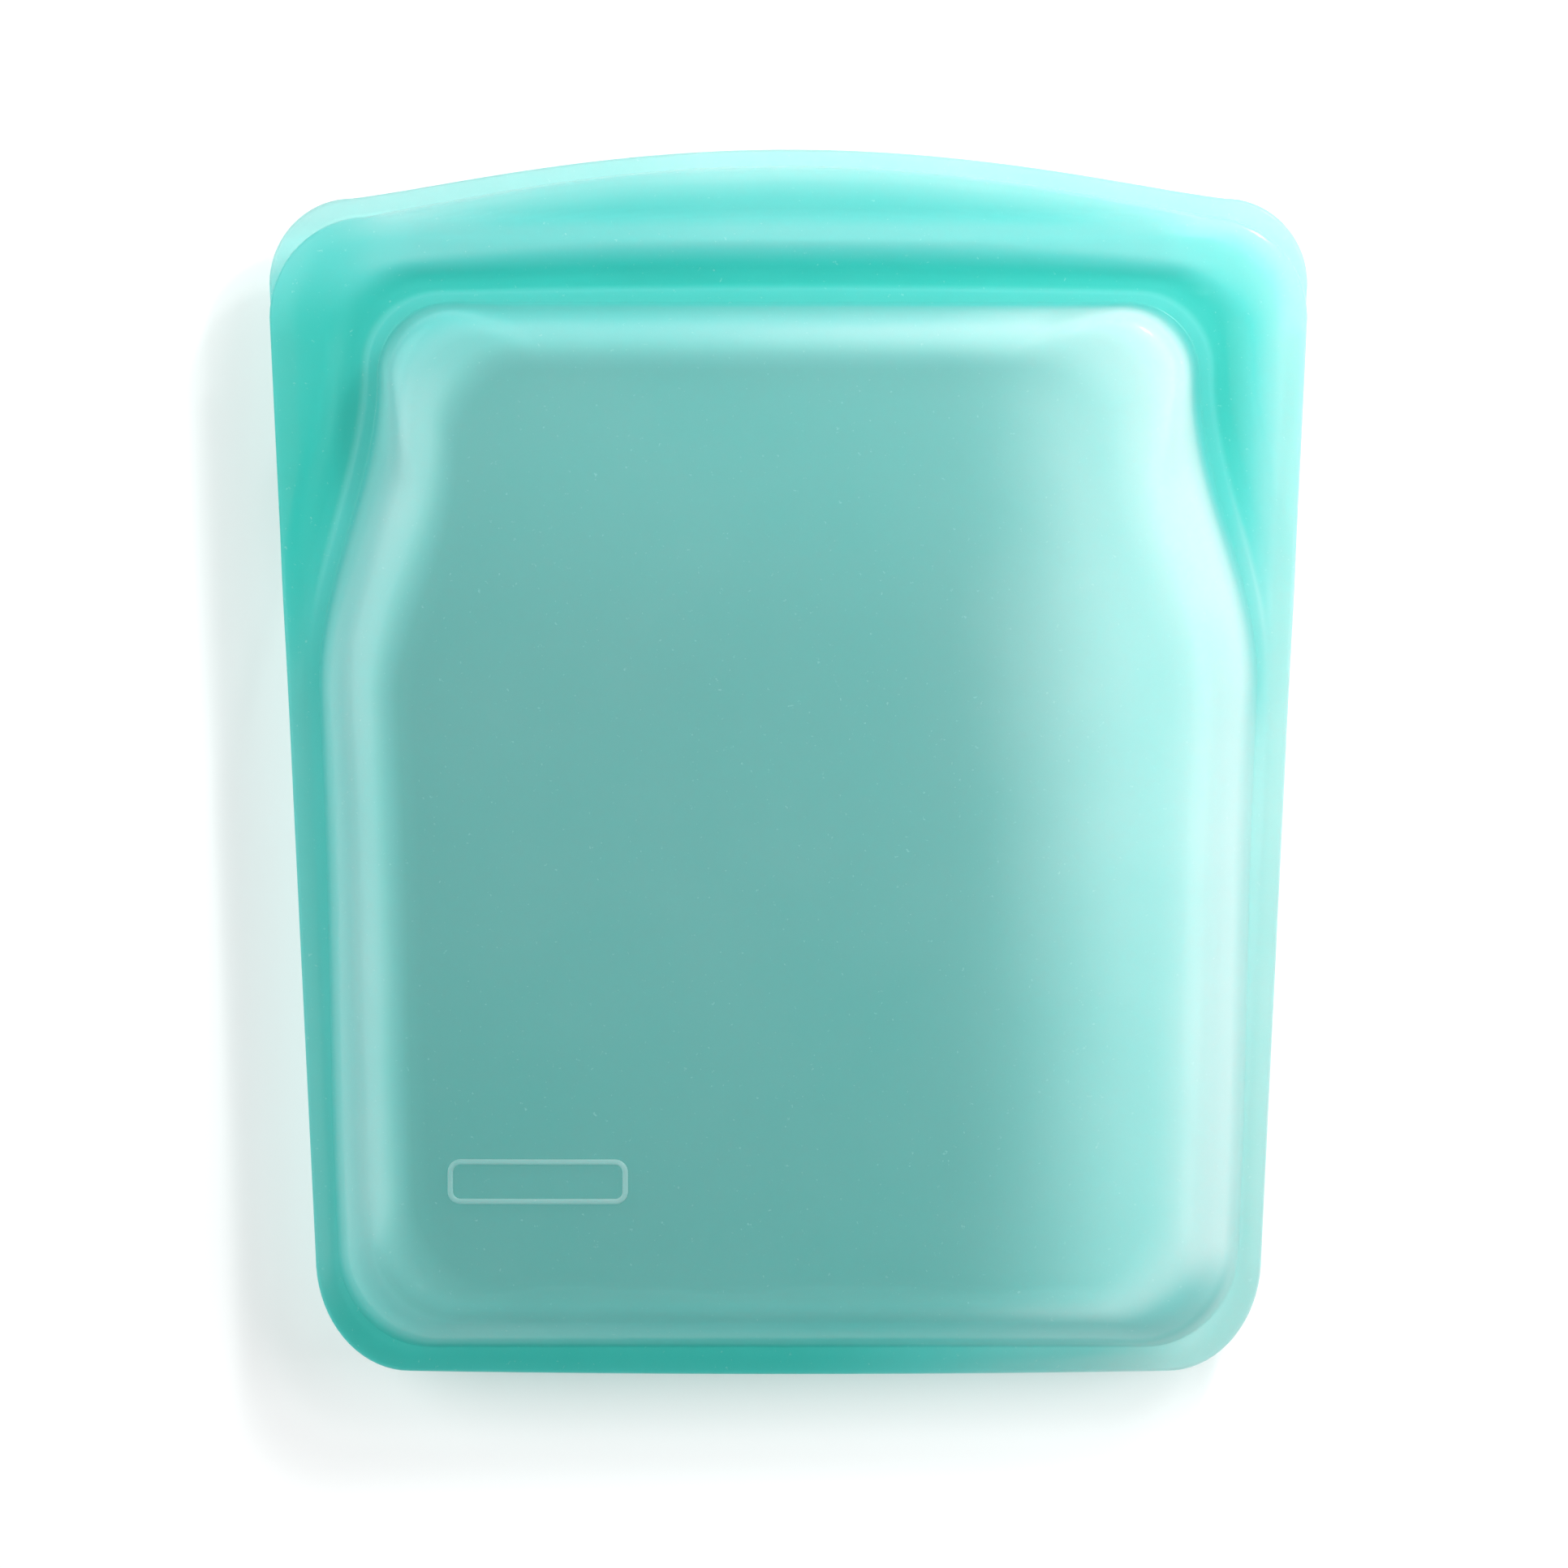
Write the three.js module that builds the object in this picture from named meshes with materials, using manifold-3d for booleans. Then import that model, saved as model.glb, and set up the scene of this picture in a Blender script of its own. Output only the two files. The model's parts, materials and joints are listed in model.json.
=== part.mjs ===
// A reusable silicone food bag, lying on its back: a pocket of two moulded trays welded along three
// sides, and a press-to-close mouth with a front and a back lip.
// Millimetres. +X to the right, +Y towards the mouth, +Z up. The back tray rests on z = 0.
import * as THREE from 'three';
import { mergeVertices } from 'three/addons/utils/BufferGeometryUtils.js';
import Module from 'manifold-3d';

const wasm = await Module();
wasm.setup();

// ---- driving dimensions ----

const WALL = 1.5; // thickness of a moulded tray
const RIM_Z = 19; // middle plane, where the two trays are welded
const SEAM_GAP = 1.4; // between the trays' inner faces along the weld
const POCKET_DEPTH = 19; // from the middle plane to a tray's floor
const TOUCH = 0.3; // between neighbouring pieces that touch

const SIDE_AT_MOUTH = 105.1; // half width of the bag where the lips begin
const SIDE_AT_FOOT = 96.3; // half width where the bottom corners begin
const MOUTH_END_Y = 90;
const FOOT_END_Y = -92;
const BOTTOM_Y = -124.3;
const BOTTOM_BOW = 1;

const SHOULDER_Y = 113.9; // the back lip's edge at its two shoulders
const LIP_ARCH = 10.4; // how far the lip's middle stands past its shoulders
const ARCH_HALF = 92;
const ARCH_POWER = 1.3;
const FRONT_LIP_SHORTER = 5; // the front lip's edge lies this far behind the back lip's
const FRONT_LIP_RISE = 5;
const BACK_LIP_DROP = 0.5;

const POCKET_TOP_Y = 94.2; // foot of the pocket's wall
const POCKET_BOTTOM_Y = -117.3;
const WALL_LEAN = { ends: 12, sides: 16 }; // how far in the wall leans from its foot to the floor
const FLANGE_NARROW = 5.3;
const FLANGE_WIDER_AT_TOP = 16;
const FLANGE_SPREADS = [20, 84]; // between these heights the flange widens

const HINGE_Y = 52; // the line that the front tray bends along as the mouth opens
const HINGE_GAP = 0.5; // from that line to each side
const PANEL_HALF = 74; // half width of the stretch that lifts
const CLOSURE_Y = 105.4;
const CLOSURE_HALF = 76;
const CLOSURE_BULGE = 2.4;
const BAND = [100.6, 109.4];
const RIDGE = [101.6, 108.6]; // where the closure's ridge is level
const NECK_Y = 98;
const NECK_RISE = 0.3;
const FLANGE_RISE = 0.2;
const BACK_LIP_FOLD_Y = 110.4;

// Reach of each outline's corners along x and y.
const CORNERS = {
  edge: { topCorner: [17, 17], bottomCorner: [19, 23] },
  foot: { topCorner: [12, 12], bottomCorner: [18, 19] },
  floor: { topCorner: [12, 12], bottomCorner: [16, 16] },
};

// The tray's wall between its foot, [0, 0], and its floor, [1, 1]: share across, share of the rise.
const WALL_CURVE = [[0.22, 0.56], [0.55, 0.87]];

const SEGMENTS = { top: 7, corner: 5, side: 12, bottom: 5 }; // from the top's middle to the foot's
const HALF_COUNT = SEGMENTS.top + 2 * SEGMENTS.corner + SEGMENTS.side + SEGMENTS.bottom + 1;
const QUARTER = Math.PI / 2;

// ---- colours ----

const AQUA = new THREE.Color(0x7fd9cf);
const AQUA_DEEP = new THREE.Color(0x45c8ba);
const AQUA_PALE = new THREE.Color(0xa9efe8);

function silicone(colour) {
  return new THREE.MeshStandardMaterial({ color: colour, roughness: 0.45, metalness: 0 });
}

// ---- small helpers ----

function smoothstep(x, low, high) {
  return THREE.MathUtils.smoothstep(x, low, high);
}

function lerp(a, b, t) {
  return a + (b - a) * t;
}

function toSolid(geometry) {
  const bare = geometry.clone();
  bare.deleteAttribute('normal');
  bare.deleteAttribute('uv');
  const merged = mergeVertices(bare, 1e-4);
  return new wasm.Manifold(new wasm.Mesh({
    numProp: 3,
    vertProperties: new Float32Array(merged.attributes.position.array),
    triVerts: new Uint32Array(merged.index.array),
  }));
}

function toGeometry(solid) {
  const mesh = solid.getMesh();
  const geometry = new THREE.BufferGeometry();
  geometry.setAttribute('position', new THREE.BufferAttribute(mesh.vertProperties, 3));
  geometry.setIndex(new THREE.BufferAttribute(mesh.triVerts, 1));
  geometry.computeVertexNormals();
  return geometry;
}

const FAR = 300;

// A block as a solid, from its lowest and highest x and y, through the whole height.
function column(x0, x1, y0, y1) {
  const block = new THREE.BoxGeometry(x1 - x0, y1 - y0, FAR);
  block.translate((x0 + x1) / 2, (y0 + y1) / 2, 0);
  return toSolid(block);
}

// ---- outlines ----

function sideHalf(y) {
  const slope = (SIDE_AT_MOUTH - SIDE_AT_FOOT) / (MOUTH_END_Y - FOOT_END_Y);
  return SIDE_AT_FOOT + slope * (y - FOOT_END_Y);
}

function arch(x) {
  const inside = Math.max(0, 1 - (x / ARCH_HALF) ** 2);
  return LIP_ARCH * inside ** ARCH_POWER;
}

function pocketHalf(y) {
  const spread = smoothstep(y, ...FLANGE_SPREADS);
  return sideHalf(y) - FLANGE_NARROW - FLANGE_WIDER_AT_TOP * spread;
}

// Points once round a closed outline, clockwise from the middle of the top, as [x, y]. The outline is
// a top and a bottom line, two sides, and four elliptical corners, and is the same left and right.
function outline({ topY, bottomY, half, topCorner, bottomCorner }) {
  const topEnd = half(topY(0) - topCorner[1]) - topCorner[0];
  const bottomEnd = half(bottomY(0) + bottomCorner[1]) - bottomCorner[0];
  const sideTop = topY(topEnd) - topCorner[1];
  const sideBottom = bottomY(bottomEnd) + bottomCorner[1];
  const run = (count, point) => Array.from({ length: count }, (_, i) => point(i / count));
  const right = [
    ...run(SEGMENTS.top, (t) => [topEnd * t, topY(topEnd * t)]),
    ...run(SEGMENTS.corner, (t) => [
      lerp(topEnd, half(sideTop), Math.sin(t * QUARTER)),
      sideTop + topCorner[1] * Math.cos(t * QUARTER),
    ]),
    ...run(SEGMENTS.side, (t) => {
      const y = lerp(sideTop, sideBottom, t);
      return [half(y), y];
    }),
    ...run(SEGMENTS.corner, (t) => [
      lerp(bottomEnd, half(sideBottom), Math.cos(t * QUARTER)),
      sideBottom - bottomCorner[1] * Math.sin(t * QUARTER),
    ]),
    ...run(SEGMENTS.bottom, (t) => [bottomEnd * (1 - t), bottomY(bottomEnd * (1 - t))]),
    [0, bottomY(0)],
  ];
  const left = right.slice(1, -1).reverse().map(([x, y]) => [-x, y]);
  return [...right, ...left];
}

// For each point of an outline, 1 along the top, falling to 0 through the top corners.
function topShares() {
  const right = Array.from({ length: HALF_COUNT }, (_, i) => (
    1 - smoothstep(i, SEGMENTS.top - 1, SEGMENTS.top + SEGMENTS.corner)
  ));
  return [...right, ...right.slice(1, -1).reverse()];
}

function bagBottom(x) {
  return BOTTOM_Y + BOTTOM_BOW * (x / SIDE_AT_FOOT) ** 2;
}

function edgeOutline(shorter) {
  return outline({
    topY: (x) => SHOULDER_Y - shorter + arch(x),
    bottomY: bagBottom,
    half: sideHalf,
    ...CORNERS.edge,
  });
}

function footOutline() {
  return outline({
    topY: () => POCKET_TOP_Y,
    bottomY: () => POCKET_BOTTOM_Y,
    half: pocketHalf,
    ...CORNERS.foot,
  });
}

// The edge of the tray's flat floor. The wall leans in more at the sides than at the two ends.
function floorOutline() {
  return outline({
    topY: () => POCKET_TOP_Y - WALL_LEAN.ends,
    bottomY: () => POCKET_BOTTOM_Y + WALL_LEAN.ends,
    half: (y) => pocketHalf(y + WALL_LEAN.ends) - WALL_LEAN.sides
      + (WALL_LEAN.sides - WALL_LEAN.ends) * smoothstep(y, 30, 70),
    ...CORNERS.floor,
  });
}

// ---- the two moulded trays ----

// Heights above the flange, from the edge of the bag to the edge of its floor. The closure's ridge
// is level between its two edges, and fades into the flange at the corners.
function trayRings(shorter, lipLift) {
  const edge = edgeOutline(shorter);
  const foot = footOutline();
  const floor = floorOutline();
  const between = (a, b, t) => a.map((p, i) => [lerp(p[0], b[i][0], t), lerp(p[1], b[i][1], t)]);
  const atTop = topShares();
  const along = (y, sideShare) => edge.map((p, i) => {
    const q = foot[i];
    const topShare = THREE.MathUtils.clamp((p[1] - y) / (p[1] - q[1]), 0.05, 0.95);
    const t = lerp(sideShare, topShare, atTop[i]);
    return [lerp(p[0], q[0], t), lerp(p[1], q[1], t)];
  });
  const nearMouth = (x, y) => smoothstep(y, 92, 100) * (1 - smoothstep(Math.abs(x), 76, 92));
  const lift = (x, y) => lipLift * Math.max(0, 1 - (x / 96) ** 2) * smoothstep(y, 96, 114);
  const ridge = (x, y) => lerp(FLANGE_RISE, CLOSURE_BULGE, nearMouth(x, y));
  const rise = POCKET_DEPTH - SEAM_GAP / 2 - WALL;
  const ring = (points, height) => points.map(([x, y]) => [x, y, height(x, y)]);
  return [
    ring(edge, lift),
    ring(along(RIDGE[1], 0.3), ridge),
    ring(along(RIDGE[0], 0.5), ridge),
    ring(along(NECK_Y, 0.7), (x, y) => NECK_RISE * nearMouth(x, y)),
    ring(foot, () => 0),
    ...WALL_CURVE.map(([across, up]) => ring(between(foot, floor, across), () => rise * up)),
    ring(floor, () => rise),
  ];
}

// A thick sheet through the rings: an outer face, an inner face a wall's thickness below it, and the
// rim that joins them. heights are turned into places by the function place.
function tray(rings, place) {
  const around = rings[0].length;
  const outer = rings.flat().map(([x, y, h]) => new THREE.Vector3(x, y, h));
  outer.push(new THREE.Vector3(0, 0, rings.at(-1)[0][2]));
  const centre = outer.length - 1;
  const faces = [];
  for (let r = 0; r + 1 < rings.length; r += 1) {
    for (let i = 0; i < around; i += 1) {
      const j = (i + 1) % around;
      const [a, b, c, d] = [r * around + i, r * around + j, (r + 1) * around + j, (r + 1) * around + i];
      faces.push([a, b, c], [a, c, d]);
    }
  }
  const last = (rings.length - 1) * around;
  for (let i = 0; i < around; i += 1) {
    faces.push([last + i, last + ((i + 1) % around), centre]);
  }
  const flat = new THREE.BufferGeometry().setFromPoints(outer);
  flat.setIndex(faces.flat());
  flat.computeVertexNormals();
  const up = flat.attributes.normal.getZ(centre) > 0 ? 1 : -1;
  const inner = outer.map((p, i) => {
    const n = new THREE.Vector3().fromBufferAttribute(flat.attributes.normal, i);
    return p.clone().addScaledVector(n, -WALL * up);
  });
  const closed = faces.flatMap(([a, b, c]) => [
    [a, b, c],
    [a + outer.length, c + outer.length, b + outer.length],
  ]);
  for (let i = 0; i < around; i += 1) {
    const j = (i + 1) % around;
    closed.push([j, i, i + outer.length], [j, i + outer.length, j + outer.length]);
  }
  const geometry = new THREE.BufferGeometry().setFromPoints([...outer, ...inner].map(place));
  geometry.setIndex(closed.flat());
  const solid = toSolid(geometry);
  if (solid.volume() > 0) {
    return solid;
  }
  geometry.setIndex(closed.map(([a, b, c]) => [a, c, b]).flat());
  return toSolid(geometry);
}

const OUTER_FACE = SEAM_GAP / 2 + WALL; // of a tray, from the middle plane

function frontTray() {
  const rings = trayRings(FRONT_LIP_SHORTER, FRONT_LIP_RISE);
  return tray(rings, (p) => new THREE.Vector3(p.x, p.y, RIM_Z + OUTER_FACE + p.z));
}

function backTray() {
  const rings = trayRings(0, BACK_LIP_DROP);
  return tray(rings, (p) => new THREE.Vector3(p.x, p.y, RIM_Z - OUTER_FACE - p.z));
}

// ---- the front tray's pieces ----

const front = frontTray();
const back = backTray();

function frontWall() {
  const mouth = column(-PANEL_HALF, PANEL_HALF, HINGE_Y - HINGE_GAP, FAR);
  const lips = column(-FAR, FAR, BAND[0] - TOUCH, FAR);
  return front.subtract(mouth).subtract(lips);
}

function frontMouthPanel() {
  const half = PANEL_HALF - TOUCH;
  return front.intersect(column(-half, half, HINGE_Y + HINGE_GAP, BAND[0] - TOUCH));
}

function frontClosureBand() {
  return front.intersect(column(-CLOSURE_HALF, CLOSURE_HALF, ...BAND));
}

function frontLip() {
  const half = CLOSURE_HALF + TOUCH;
  const upper = front.intersect(column(-FAR, FAR, BAND[0], FAR));
  return upper.subtract(column(-half, half, 0, BAND[1] + TOUCH));
}

// ---- the back tray's pieces ----

function backWall() {
  return back.subtract(column(-FAR, FAR, BAND[0] - TOUCH, FAR));
}

function backClosureBand() {
  return back.intersect(column(-FAR, FAR, BAND[0], BACK_LIP_FOLD_Y - TOUCH));
}

function backLip() {
  return back.intersect(column(-FAR, FAR, BACK_LIP_FOLD_Y + TOUCH, FAR));
}

// ---- the welds ----

const WELD = { inset: 1, width: 3.2, thick: SEAM_GAP - 2 * TOUCH };

// A flat band inside the bag's edge, all the way round. The three welds are cut from it.
function weldRing() {
  const edge = edgeOutline(FRONT_LIP_SHORTER);
  const shrunk = (by) => edge.map(([x, y]) => [x * (1 - by / SIDE_AT_FOOT), y * (1 + by / BOTTOM_Y)]);
  const rings = [shrunk(WELD.inset), shrunk(WELD.inset + WELD.width)];
  const around = edge.length;
  const z = [RIM_Z - WELD.thick / 2, RIM_Z + WELD.thick / 2];
  const at = (r, level) => rings[r].map(([x, y]) => new THREE.Vector3(x, y, z[level]));
  const loops = [at(0, 0), at(0, 1), at(1, 1), at(1, 0)];
  const faces = [];
  for (let k = 0; k < loops.length; k += 1) {
    const next = (k + 1) % loops.length;
    for (let i = 0; i < around; i += 1) {
      const j = (i + 1) % around;
      const [a, b, c, d] = [k * around + i, next * around + i, next * around + j, k * around + j];
      faces.push([a, b, c], [a, c, d]);
    }
  }
  const geometry = new THREE.BufferGeometry().setFromPoints(loops.flat());
  geometry.setIndex(faces.flat());
  const solid = toSolid(geometry);
  if (solid.volume() > 0) {
    return solid;
  }
  geometry.setIndex(faces.map(([a, b, c]) => [a, c, b]).flat());
  return toSolid(geometry);
}

const WELD_TOP_Y = 88;
const weld = weldRing();

function bottomSeam() {
  return weld.intersect(column(-FAR, FAR, -FAR, FOOT_END_Y));
}

function sideSeam(side) {
  const [x0, x1] = side > 0 ? [0, FAR] : [-FAR, 0];
  return weld.intersect(column(x0, x1, FOOT_END_Y + TOUCH, WELD_TOP_Y));
}

// ---- the press closure ----

const RIB = { half: 1.3, tip: 1.6, tall: 4.3 };
const CHANNEL = { wall: 1.2, tall: 3.9, innerGap: 0.5, outerGap: 1.1 };
const FRONT_INSIDE_Z = RIM_Z + SEAM_GAP / 2 + CLOSURE_BULGE; // the band's inner face
const BACK_INSIDE_Z = RIM_Z - SEAM_GAP / 2 - CLOSURE_BULGE;

// A rail along x from a section drawn in y and z.
function rail(section, half) {
  const shape = new THREE.Shape(section.map(([y, z]) => new THREE.Vector2(y, z)));
  const geometry = new THREE.ExtrudeGeometry(shape, { depth: 2 * half, steps: 1, bevelEnabled: false });
  geometry.translate(0, 0, -half);
  geometry.applyMatrix4(new THREE.Matrix4().makeBasis(
    new THREE.Vector3(0, 1, 0),
    new THREE.Vector3(0, 0, 1),
    new THREE.Vector3(1, 0, 0),
  ));
  return toSolid(geometry);
}

function pressRib() {
  const root = FRONT_INSIDE_Z - 3 * TOUCH;
  const tip = root - RIB.tall;
  return rail([
    [CLOSURE_Y - RIB.half, root],
    [CLOSURE_Y - RIB.half, tip + 1.8],
    [CLOSURE_Y - RIB.tip, tip + 1.1],
    [CLOSURE_Y - 0.6, tip],
    [CLOSURE_Y + 0.6, tip],
    [CLOSURE_Y + RIB.tip, tip + 1.1],
    [CLOSURE_Y + RIB.half, tip + 1.8],
    [CLOSURE_Y + RIB.half, root],
  ], CLOSURE_HALF - 1);
}

function channelWall(nearY, farY) {
  const root = BACK_INSIDE_Z + 3 * TOUCH;
  const top = root + CHANNEL.tall;
  const chamfer = 0.4;
  return rail([
    [nearY, root],
    [farY, root],
    [farY, top - chamfer],
    [farY - chamfer, top],
    [nearY + chamfer, top],
    [nearY, top - chamfer],
  ], CLOSURE_HALF - 1);
}

function channelInnerWall() {
  const far = CLOSURE_Y - RIB.tip - CHANNEL.innerGap;
  return channelWall(far - CHANNEL.wall, far);
}

function channelOuterWall() {
  const near = CLOSURE_Y + RIB.tip + CHANNEL.outerGap;
  return channelWall(near, near + CHANNEL.wall);
}

const END_WELD = { from: 77, to: 82, y0: 100.8, y1: 104.6, z0: 17.6, z1: 20.2 };

function closureEnd(side) {
  const size = [END_WELD.to - END_WELD.from, END_WELD.y1 - END_WELD.y0, END_WELD.z1 - END_WELD.z0];
  const pad = new THREE.BoxGeometry(...size);
  pad.translate(
    side * (END_WELD.from + END_WELD.to) / 2,
    (END_WELD.y0 + END_WELD.y1) / 2,
    (END_WELD.z0 + END_WELD.z1) / 2,
  );
  return toSolid(pad);
}

// ---- the raised label frame on the front ----

const LABEL = { x: -50, y: -84, width: 36, height: 9, radius: 2.6, line: 1.1, proud: 0.6 };

function roundedRectangle(path, width, height, radius) {
  const [w, h] = [width / 2 - radius, height / 2 - radius];
  path.absarc(w, h, radius, 0, Math.PI / 2);
  path.absarc(-w, h, radius, Math.PI / 2, Math.PI);
  path.absarc(-w, -h, radius, Math.PI, 1.5 * Math.PI);
  path.absarc(w, -h, radius, 1.5 * Math.PI, 2 * Math.PI);
  path.closePath();
  return path;
}

function labelFrame() {
  const shape = roundedRectangle(new THREE.Shape(), LABEL.width, LABEL.height, LABEL.radius);
  const inner = [LABEL.width - 2 * LABEL.line, LABEL.height - 2 * LABEL.line];
  shape.holes.push(roundedRectangle(new THREE.Path(), ...inner, LABEL.radius - LABEL.line));
  const geometry = new THREE.ExtrudeGeometry(shape, {
    depth: LABEL.proud,
    bevelEnabled: false,
    curveSegments: 4,
  });
  geometry.translate(LABEL.x, LABEL.y, RIM_Z + POCKET_DEPTH + TOUCH);
  return toSolid(geometry);
}

// ---- the bag ----

const bag = new THREE.Group();

function add(name, solid, colour) {
  const mesh = new THREE.Mesh(toGeometry(solid), silicone(colour));
  mesh.name = name;
  bag.add(mesh);
}

add('front_wall', frontWall(), AQUA);
add('front_mouth_panel', frontMouthPanel(), AQUA);
add('front_closure_band', frontClosureBand(), AQUA_DEEP);
add('front_lip', frontLip(), AQUA);
add('press_rib', pressRib(), AQUA_DEEP);
add('back_wall', backWall(), AQUA);
add('back_closure_band', backClosureBand(), AQUA_DEEP);
add('back_lip', backLip(), AQUA_PALE);
add('channel_inner_wall', channelInnerWall(), AQUA_DEEP);
add('channel_outer_wall', channelOuterWall(), AQUA_DEEP);
add('side_seam_left', sideSeam(-1), AQUA_DEEP);
add('side_seam_right', sideSeam(1), AQUA_DEEP);
add('bottom_seam', bottomSeam(), AQUA_DEEP);
add('closure_end_left', closureEnd(-1), AQUA_DEEP);
add('closure_end_right', closureEnd(1), AQUA_DEEP);
add('label_frame', labelFrame(), AQUA_PALE);

export default bag;
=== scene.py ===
"""A reusable silicone food bag lying on its back, with its press-to-close mouth shut."""

import json
import math

import bpy
import numpy as np
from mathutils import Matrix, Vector
from mathutils.bvhtree import BVHTree


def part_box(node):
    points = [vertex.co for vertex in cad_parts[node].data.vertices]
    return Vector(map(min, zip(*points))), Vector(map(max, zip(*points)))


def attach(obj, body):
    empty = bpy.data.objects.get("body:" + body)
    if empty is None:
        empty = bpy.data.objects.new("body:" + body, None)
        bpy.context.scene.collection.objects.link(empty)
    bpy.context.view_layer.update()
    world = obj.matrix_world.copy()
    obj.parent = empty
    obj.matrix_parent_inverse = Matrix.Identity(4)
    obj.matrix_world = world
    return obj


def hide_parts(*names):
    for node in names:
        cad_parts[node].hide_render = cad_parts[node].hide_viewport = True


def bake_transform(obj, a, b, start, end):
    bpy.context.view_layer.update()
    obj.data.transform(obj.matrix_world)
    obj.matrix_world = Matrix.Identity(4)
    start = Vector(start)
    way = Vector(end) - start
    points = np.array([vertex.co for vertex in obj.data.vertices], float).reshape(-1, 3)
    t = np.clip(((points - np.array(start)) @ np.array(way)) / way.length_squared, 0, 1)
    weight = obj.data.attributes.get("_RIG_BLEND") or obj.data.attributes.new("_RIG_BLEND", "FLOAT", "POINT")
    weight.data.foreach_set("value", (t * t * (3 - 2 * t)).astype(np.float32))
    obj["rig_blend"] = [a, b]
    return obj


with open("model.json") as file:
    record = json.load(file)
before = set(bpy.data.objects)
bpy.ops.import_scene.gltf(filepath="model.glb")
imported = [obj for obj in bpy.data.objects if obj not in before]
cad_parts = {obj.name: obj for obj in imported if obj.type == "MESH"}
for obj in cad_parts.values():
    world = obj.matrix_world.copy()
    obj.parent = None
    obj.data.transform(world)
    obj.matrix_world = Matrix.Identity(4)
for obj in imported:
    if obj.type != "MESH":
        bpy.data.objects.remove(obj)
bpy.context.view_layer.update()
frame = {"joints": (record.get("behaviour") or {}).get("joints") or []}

MM = 0.001

# ---- sizes, in millimetres ----


def box_mm(node):
    """A CAD node's lowest and highest corner."""
    low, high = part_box(node)
    return np.array(low) / MM, np.array(high) / MM


WALL = 1.5
RIM_ROUND = WALL / 2

weld_low, weld_high = box_mm("bottom_seam")
RIM_Z = (weld_low[2] + weld_high[2]) / 2
SEAM_HALF_GAP = 0.7  # from the middle plane to a sheet's inner face
FLANGE_FACE = SEAM_HALF_GAP + WALL

front_top = box_mm("front_wall")[1][2]
FLOOR_RISE = front_top - RIM_Z - FLANGE_FACE

BOTTOM_Y = box_mm("back_wall")[0][1]
BOTTOM_BOW = 1.0
FRONT_LIP_Y = box_mm("front_lip")[1][1]
BACK_LIP_Y = box_mm("back_lip")[1][1]
FRONT_CORNER = 20.0
BACK_CORNER = 17.0
FOOT_CORNER = (19, 23)  # across and along
LIP_ARCH = 10.4
ARCH_HALF = 92.0
ARCH_POWER = 1.3

HALF_AT_MOUTH = 105.1
HALF_AT_FOOT = 96.3
MOUTH_END_Y = 90.0
FOOT_END_Y = -92.0

POCKET_TOP_Y = 92.7
POCKET_BOTTOM_Y = -118.5
POCKET_TOP_CORNER = (14.5, 14.5)
POCKET_FOOT_CORNER = (19, 20)
FLOOR_TOP_CORNER = (14, 14)
FLOOR_FOOT_CORNER = (17, 17)
FLANGE_AT_FOOT = 5.0
FLANGE_WIDENS = 1.6  # by this much from the foot to the middle of the bag
FLANGE_WIDENS_OVER = (-90, 0)
FLANGE_WIDER_AT_TOP = 15.0
FLANGE_SPREADS = (14.0, 80.0)
LEAN_TOP = 17.5
LEAN_BOTTOM = 15.0
LEAN_SIDES = 20.5
FLOOR_NARROWS = (-20, 60)  # from here up the floor narrows sooner than the pocket's foot does
FLOOR_ASIDE = -3.5  # the floor sags to the left, so the right side slopes more gently

rib_low, rib_high = box_mm("press_rib")
CLOSURE_Y = (rib_low[1] + rib_high[1]) / 2
CLOSURE_HALF = rib_high[0]
CLOSURE_BULGE = 2.4
RIDGE_RISES = (88, 97)
RIDGE_FALLS = (105.4, 109.6)  # beyond its closure the ridge falls away a little,
RIDGE_FALL = 0.34  # by this share of its height
MOUTH_FADE = (76.0, 92.0)  # the ridge fades out between these half widths

FRONT_LIFT = 3.6
BACK_DROP = 0.5
LIP_LIFTS = (107.5, 121)
LIP_LIFT_HALF = 100  # the lip's lift is 0 at this half width
FLANGE_BROADENS = (5, 62)  # over this stretch the narrow rims' swell gives way to the wings

# Points from the top's middle down one side to the foot's middle.
COUNTS = {"top": 48, "corner": 18, "side": 56, "bottom": 28}


def smooth(x, low, high):
    """0 below low, 1 above high, and a smooth step between them."""
    t = np.clip((x - low) / (high - low), 0.0, 1.0)
    return t * t * (3 - 2 * t)


def hump(x, rises, falls):
    """0, up to 1 over the stretch rises, and back to 0 over the stretch falls."""
    return smooth(x, *rises) * (1 - smooth(x, *falls))


def mix(a, b, share):
    return a + (b - a) * share


# ---- outlines of the moulded sheets ----


def side_half(y):
    slope = (HALF_AT_MOUTH - HALF_AT_FOOT) / (MOUTH_END_Y - FOOT_END_Y)
    return HALF_AT_FOOT + slope * (y - FOOT_END_Y)


def lip_arch(x):
    return LIP_ARCH * np.clip(1 - (x / ARCH_HALF) ** 2, 0, None) ** ARCH_POWER


def pocket_half(y):
    flange = FLANGE_AT_FOOT + FLANGE_WIDENS * smooth(y, *FLANGE_WIDENS_OVER)
    return side_half(y) - flange - FLANGE_WIDER_AT_TOP * smooth(y, *FLANGE_SPREADS)


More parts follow.
